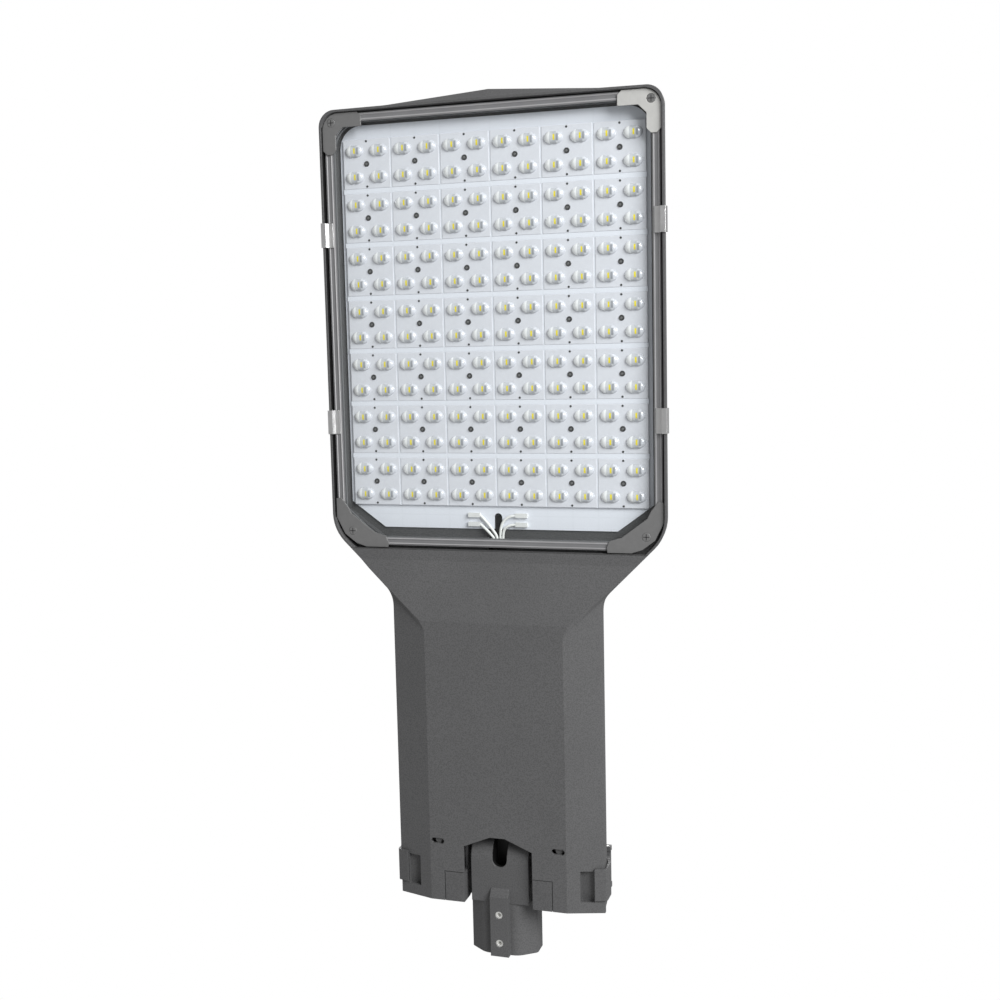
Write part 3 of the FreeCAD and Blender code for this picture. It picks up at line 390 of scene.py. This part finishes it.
def lensModules():
    plates, domes = bmesh.new(), bmesh.new()
    for x, y in moduleSpots():
        addBox(plates, ((x - lens["plateX"]) * mm, (y - lens["plateY"]) * mm, lens["low"] * mm),
               ((x + lens["plateX"]) * mm, (y + lens["plateY"]) * mm, lens["high"] * mm),
               lens["round"] * mm)
        for sx in (-1, 1):
            for sy in (-1, 1):
                ball = bmesh.ops.create_uvsphere(domes, u_segments=lens["around"],
                                                 v_segments=lens["rings"] * 2, radius=1.0)["verts"]
                for vert in ball:
                    reach = abs(vert.co.x)
                    waist = 1 - lens["waist"] * (1 - min(1, reach * lens["waistReach"])) ** 2
                    rise = vert.co.z if vert.co.z < 0 else vert.co.z * lens["back"]
                    dip = 1 - lens["dip"] * max(0, 1 - reach * lens["dipReach"])
                    vert.co = Vector(((x + sx * lens["spread"] + vert.co.x * lens["long"]) * mm,
                                      (y + sy * lens["spread"] + vert.co.y * lens["wide"]
                                       * waist) * mm,
                                      (lens["low"] + rise * lens["tall"] * dip) * mm))
    seams = bmesh.new()
    halfX = lens["cols"] / 2 * lens["colPitch"]
    halfCols, rows = lens["cols"] // 2, lens["rows"]
    lines = [(column * lens["colPitch"], lens["middle"] + (row - (rows - 1) / 2) * lens["rowPitch"],
              lens["seamX"], lens["plateY"])
             for column in range(1 - halfCols, halfCols) for row in range(rows)]
    lines += [(0, lens["middle"] + (row - (rows - 2) / 2) * lens["rowPitch"], halfX, lens["seamY"])
              for row in range(rows - 1)]
    for x, y, wide, tall in lines:
        addBox(seams, ((x - wide) * mm, (y - tall) * mm, (lens["low"] + lens["seamSink"]) * mm),
               ((x + wide) * mm, (y + tall) * mm, lens["high"] * mm))
    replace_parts(finishPiece(seams, "moduleSeams", "lens", "head", False, look="board"),
                "lens_modules")
    plate = finishPiece(plates, "lensPlates", "lens", "head", False, look="plate")
    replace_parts(plate, "lens_modules")
    dome = finishPiece(domes, "lensDomes", "lens", "head", True, 80)
    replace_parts(dome, "lens_modules")


lensModules()
print("lens modules made")


# Dark screws in the middle of each module, and the round marks on the board
studs = {"head": 2.8, "taper": 0.8, "tall": 0.9, "socket": 1.0, "sunk": 0.5, "core": 1.15,
         "coreTall": 0.25, "dot": 1.1, "dotTall": 0.2, "dotReach": 21.5}


def moduleScrews():
    work = bmesh.new()
    for x, y in moduleSpots():
        head = bmesh.ops.create_cone(
            work, cap_ends=True, segments=16, radius1=studs["head"] * studs["taper"] * mm,
            radius2=studs["head"] * mm, depth=studs["tall"] * mm)["verts"]
        bmesh.ops.translate(work, verts=head, vec=(
            x * mm, y * mm, (lens["low"] - studs["tall"] / 2) * mm))
        caps = [face for face in {face for vert in head for face in vert.link_faces}
                if face.calc_center_median().z < (lens["low"] - studs["tall"] * 0.9) * mm]
        bmesh.ops.inset_region(work, faces=caps, thickness=studs["socket"] * mm)
        bmesh.ops.translate(work, verts=list({v for f in caps for v in f.verts}),
                            vec=(0, 0, studs["tall"] * studs["sunk"] * mm))
        centre = bmesh.ops.create_cone(
            work, cap_ends=True, segments=12, radius1=studs["core"] * mm,
            radius2=studs["core"] * mm, depth=studs["coreTall"] * mm)["verts"]
        bmesh.ops.translate(work, verts=centre, vec=(
            x * mm, y * mm,
            (lens["low"] - studs["tall"] * studs["sunk"] - studs["coreTall"] / 2) * mm))
        for face in {face for vert in centre for face in vert.link_faces}:
            face.material_index = 1
    screws = finishPiece(work, "moduleScrews", "black_plastic", "head", True, 30)
    screws.data.materials.append(finishes["bracket"])


moduleScrews()


def boardMarks():
    work = bmesh.new()
    for x, y in moduleSpots():
        for end in (-1, 1):
            dot = bmesh.ops.create_cone(
                work, cap_ends=True, segments=10, depth=studs["dotTall"] * mm,
                radius1=studs["dot"] * mm, radius2=studs["dot"] * mm)["verts"]
            bmesh.ops.translate(work, verts=dot, vec=(
                x * mm, (y + end * studs["dotReach"]) * mm,
                (lens["low"] - studs["dotTall"] / 2) * mm))
    finishPiece(work, "boardMarks", "black_plastic", "head", False)


boardMarks()
print("module screws and board marks made")


# Gasket: two rounded ridges with a groove, laid over the ring's front
ridge = {"inset": 1.5, "second": 6.3, "radius": 0.95, "front": -21.3, "sink": 0.3,
         "rings": 3, "cornerSteps": 12, "half": 164.2, "nose": 826.7, "tail": 408.1,
         "corner": 36.0, "cutX": 128.0, "cutY": 441.0, "share": 0.41421}


def ringPoints(draw):
    half, radius = ridge["half"] - draw, ridge["corner"] - draw
    nose, tail = ridge["nose"] - draw, ridge["tail"] + draw
    points = []
    for step in range(ridge["cornerSteps"] + 1):
        angle = math.radians(90 - step * 90 / ridge["cornerSteps"])
        points.append((half - radius + math.cos(angle) * radius,
                       nose - radius + math.sin(angle) * radius))
    points += [(half, ridge["cutY"] + ridge["share"] * draw),
               (ridge["cutX"] - ridge["share"] * draw, tail)]
    return points + [(-x, y) for x, y in reversed(points)]


def addTube(work, kind, points, radius, rings):
    curve = bpy.data.curves.new("tubeLine", "CURVE")
    curve.dimensions = "3D"
    spline = curve.splines.new(kind)
    spline.points.add(len(points) - 1)
    for point, spot in zip(spline.points, points):
        point.co = (*[amount * mm for amount in spot], 1)
    curve.bevel_depth, curve.bevel_resolution = radius * mm, rings
    if kind == "POLY":
        spline.use_cyclic_u = True
    else:
        spline.order_u, spline.use_endpoint_u = 3, True
        curve.use_fill_caps = True
    line = bpy.data.objects.new("tubeLine", curve)
    bpy.context.collection.objects.link(line)
    work.from_mesh(bpy.data.meshes.new_from_object(line.evaluated_get(
        bpy.context.evaluated_depsgraph_get())))
    bpy.data.objects.remove(line)


def gasketRidges():
    for index, draw in enumerate((ridge["inset"], ridge["second"])):
        work = bmesh.new()
        addTube(work, "POLY", [(x, y, ridge["front"] + ridge["sink"]) for x, y in ringPoints(draw)],
                ridge["radius"], ridge["rings"])
        # The ridges take the lighter copy of the gasket silicone, a painted highlight
        finishPiece(work, "gasketRidge%d" % index, "gasket", "head", True, 60, look="ridge")


gasketRidges()
print("gasket made")


# Leads from the board's terminals to the hole in the cross wall
leadLook = {"radius": 1.35, "rings": 4, "level": -11.0, "bow": 0.9, "sink": -11.4,
            "finish": 411.0, "close": 0.9}
leadRoutes = [
    [(18.4, 438.2), (14.0, 434.5), (8.0, 427.5), (3.0, 421.0), (0.8, 416.5)],
    [(18.0, 429.3), (14.5, 426.5), (10.0, 422.5), (6.5, 418.5), (4.0, 415.5)],
    [(-18.0, 438.2), (-12.0, 437.5), (-6.0, 433.0), (-2.8, 426.0), (-2.2, 416.5)],
    [(-18.0, 429.3), (-13.0, 428.8), (-8.0, 426.5), (-5.4, 422.0), (-5.0, 415.5)]]


def boardLeads():
    work = bmesh.new()
    for route in leadRoutes:
        points = [(x, y, leadLook["level"]
                   - leadLook["bow"] * math.sin(math.pi * place / (len(route) - 1)))
                  for place, (x, y) in enumerate(route)]
        points.append((route[-1][0] * leadLook["close"], leadLook["finish"], leadLook["sink"]))
        addTube(work, "NURBS", points, leadLook["radius"], leadLook["rings"])
    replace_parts(finishPiece(work, "boardLeads", "wire", "head", True, 60), "board_wires")


boardLeads()
print("leads made")


# Corner pieces that round the slots: middle, half sizes, low and high level
slotEnds = {"board": (0.0, 440.0, 4.0, 4.0, -9.5, -8.0),
            "right": (61.9, 114.0, 6.5, 2.75, -37.4, -34.6),
            "left": (-61.9, 114.0, 6.5, 2.75, -37.4, -34.6)}
slotSteps = 6  # straight pieces in each quarter round


def roundCorner(work, x, y, radius, sideX, sideY, low, high):
    loop = [(x, y)]
    for step in range(slotSteps + 1):
        angle = math.pi / 2 * step / slotSteps
        loop.append((x - sideX * radius * (1 - math.sin(angle)),
                     y - sideY * radius * (1 - math.cos(angle))))
    face = work.faces.new([work.verts.new((px * mm, py * mm, low * mm)) for px, py in loop])
    made = bmesh.ops.extrude_face_region(work, geom=[face])["geom"]
    bmesh.ops.translate(work, verts=[v for v in made if isinstance(v, bmesh.types.BMVert)],
                        vec=(0, 0, (high - low) * mm))


def slotCorners():
    for name, (x, y, halfX, halfY, low, high) in slotEnds.items():
        work = bmesh.new()
        for sideX in (-1, 1):
            for sideY in ((1,) if name == "board" else (-1, 1)):
                top = y if name == "board" else y + sideY * halfY
                roundCorner(work, x + sideX * halfX, top, min(halfX, halfY), sideX, sideY,
                            low, high)
        finishPiece(work, "slotEnds_" + name, "board" if name == "board" else "casting", "head",
                    False, look="board" if name == "board" else "cover")


slotCorners()
print("slot ends made")


# Painted shade: thin black crosses on the heads of the four bracket screws, standing in for the
# shade in their cross recesses
cross = {"long": 2.9, "wide": 0.45, "tall": 0.06, "ahead": 1.7}
bracketScrews = [(156.4, 818.7), (148.4, 421.7)]


def crossShadeMarks():
    work = bmesh.new()
    low = ridge["front"] - cross["ahead"]
    for side in (-1, 1):
        for x, y in bracketScrews:
            for across, up in ((cross["long"], cross["wide"]), (cross["wide"], cross["long"])):
                addBox(work, ((x * side - across) * mm, (y - up) * mm, (low - cross["tall"]) * mm),
                       ((x * side + across) * mm, (y + up) * mm, low * mm))
    finishPiece(work, "screwCrossShades", "black_plastic", "head", False)


crossShadeMarks()
print("screw crosses made")


# Soft lamps and an even surround that the camera sees as white
lamps = {"key": ((-2.1, 1.8, -1.5), 1.6, 128.0), "fill": ((2.4, -0.2, -1.1), 1.6, 3.0),
         "tail": ((-0.4, -1.5, -1.0), 1.2, 6.0), "roof": ((0.8, 0.6, 2.0), 1.6, 30.0)}
lampAim = Vector((0, 0.45, 0))
surround = {"light": 0.34, "seen": 1.0}
for name, (spot, size, power) in lamps.items():
    lampData = bpy.data.lights.new(name, "AREA")
    lampData.energy, lampData.size = power, size
    lamp = bpy.data.objects.new(name, lampData)
    lamp.location = spot
    lamp.rotation_euler = (lampAim - Vector(spot)).to_track_quat("-Z", "Y").to_euler()
    bpy.context.collection.objects.link(lamp)

world = bpy.data.worlds.new("surround")
scene.world = world
world.use_nodes = True
backNode = world.node_tree.nodes["Background"]
backNode.inputs["Color"].default_value = rgb(1)
sight = world.node_tree.nodes.new("ShaderNodeLightPath")
strength = world.node_tree.nodes.new("ShaderNodeMapRange")
strength.inputs["To Min"].default_value = surround["light"]
strength.inputs["To Max"].default_value = surround["seen"]
world.node_tree.links.new(sight.outputs["Is Camera Ray"], strength.inputs["Value"])
world.node_tree.links.new(strength.outputs["Result"], backNode.inputs["Strength"])
print("lamps lit")
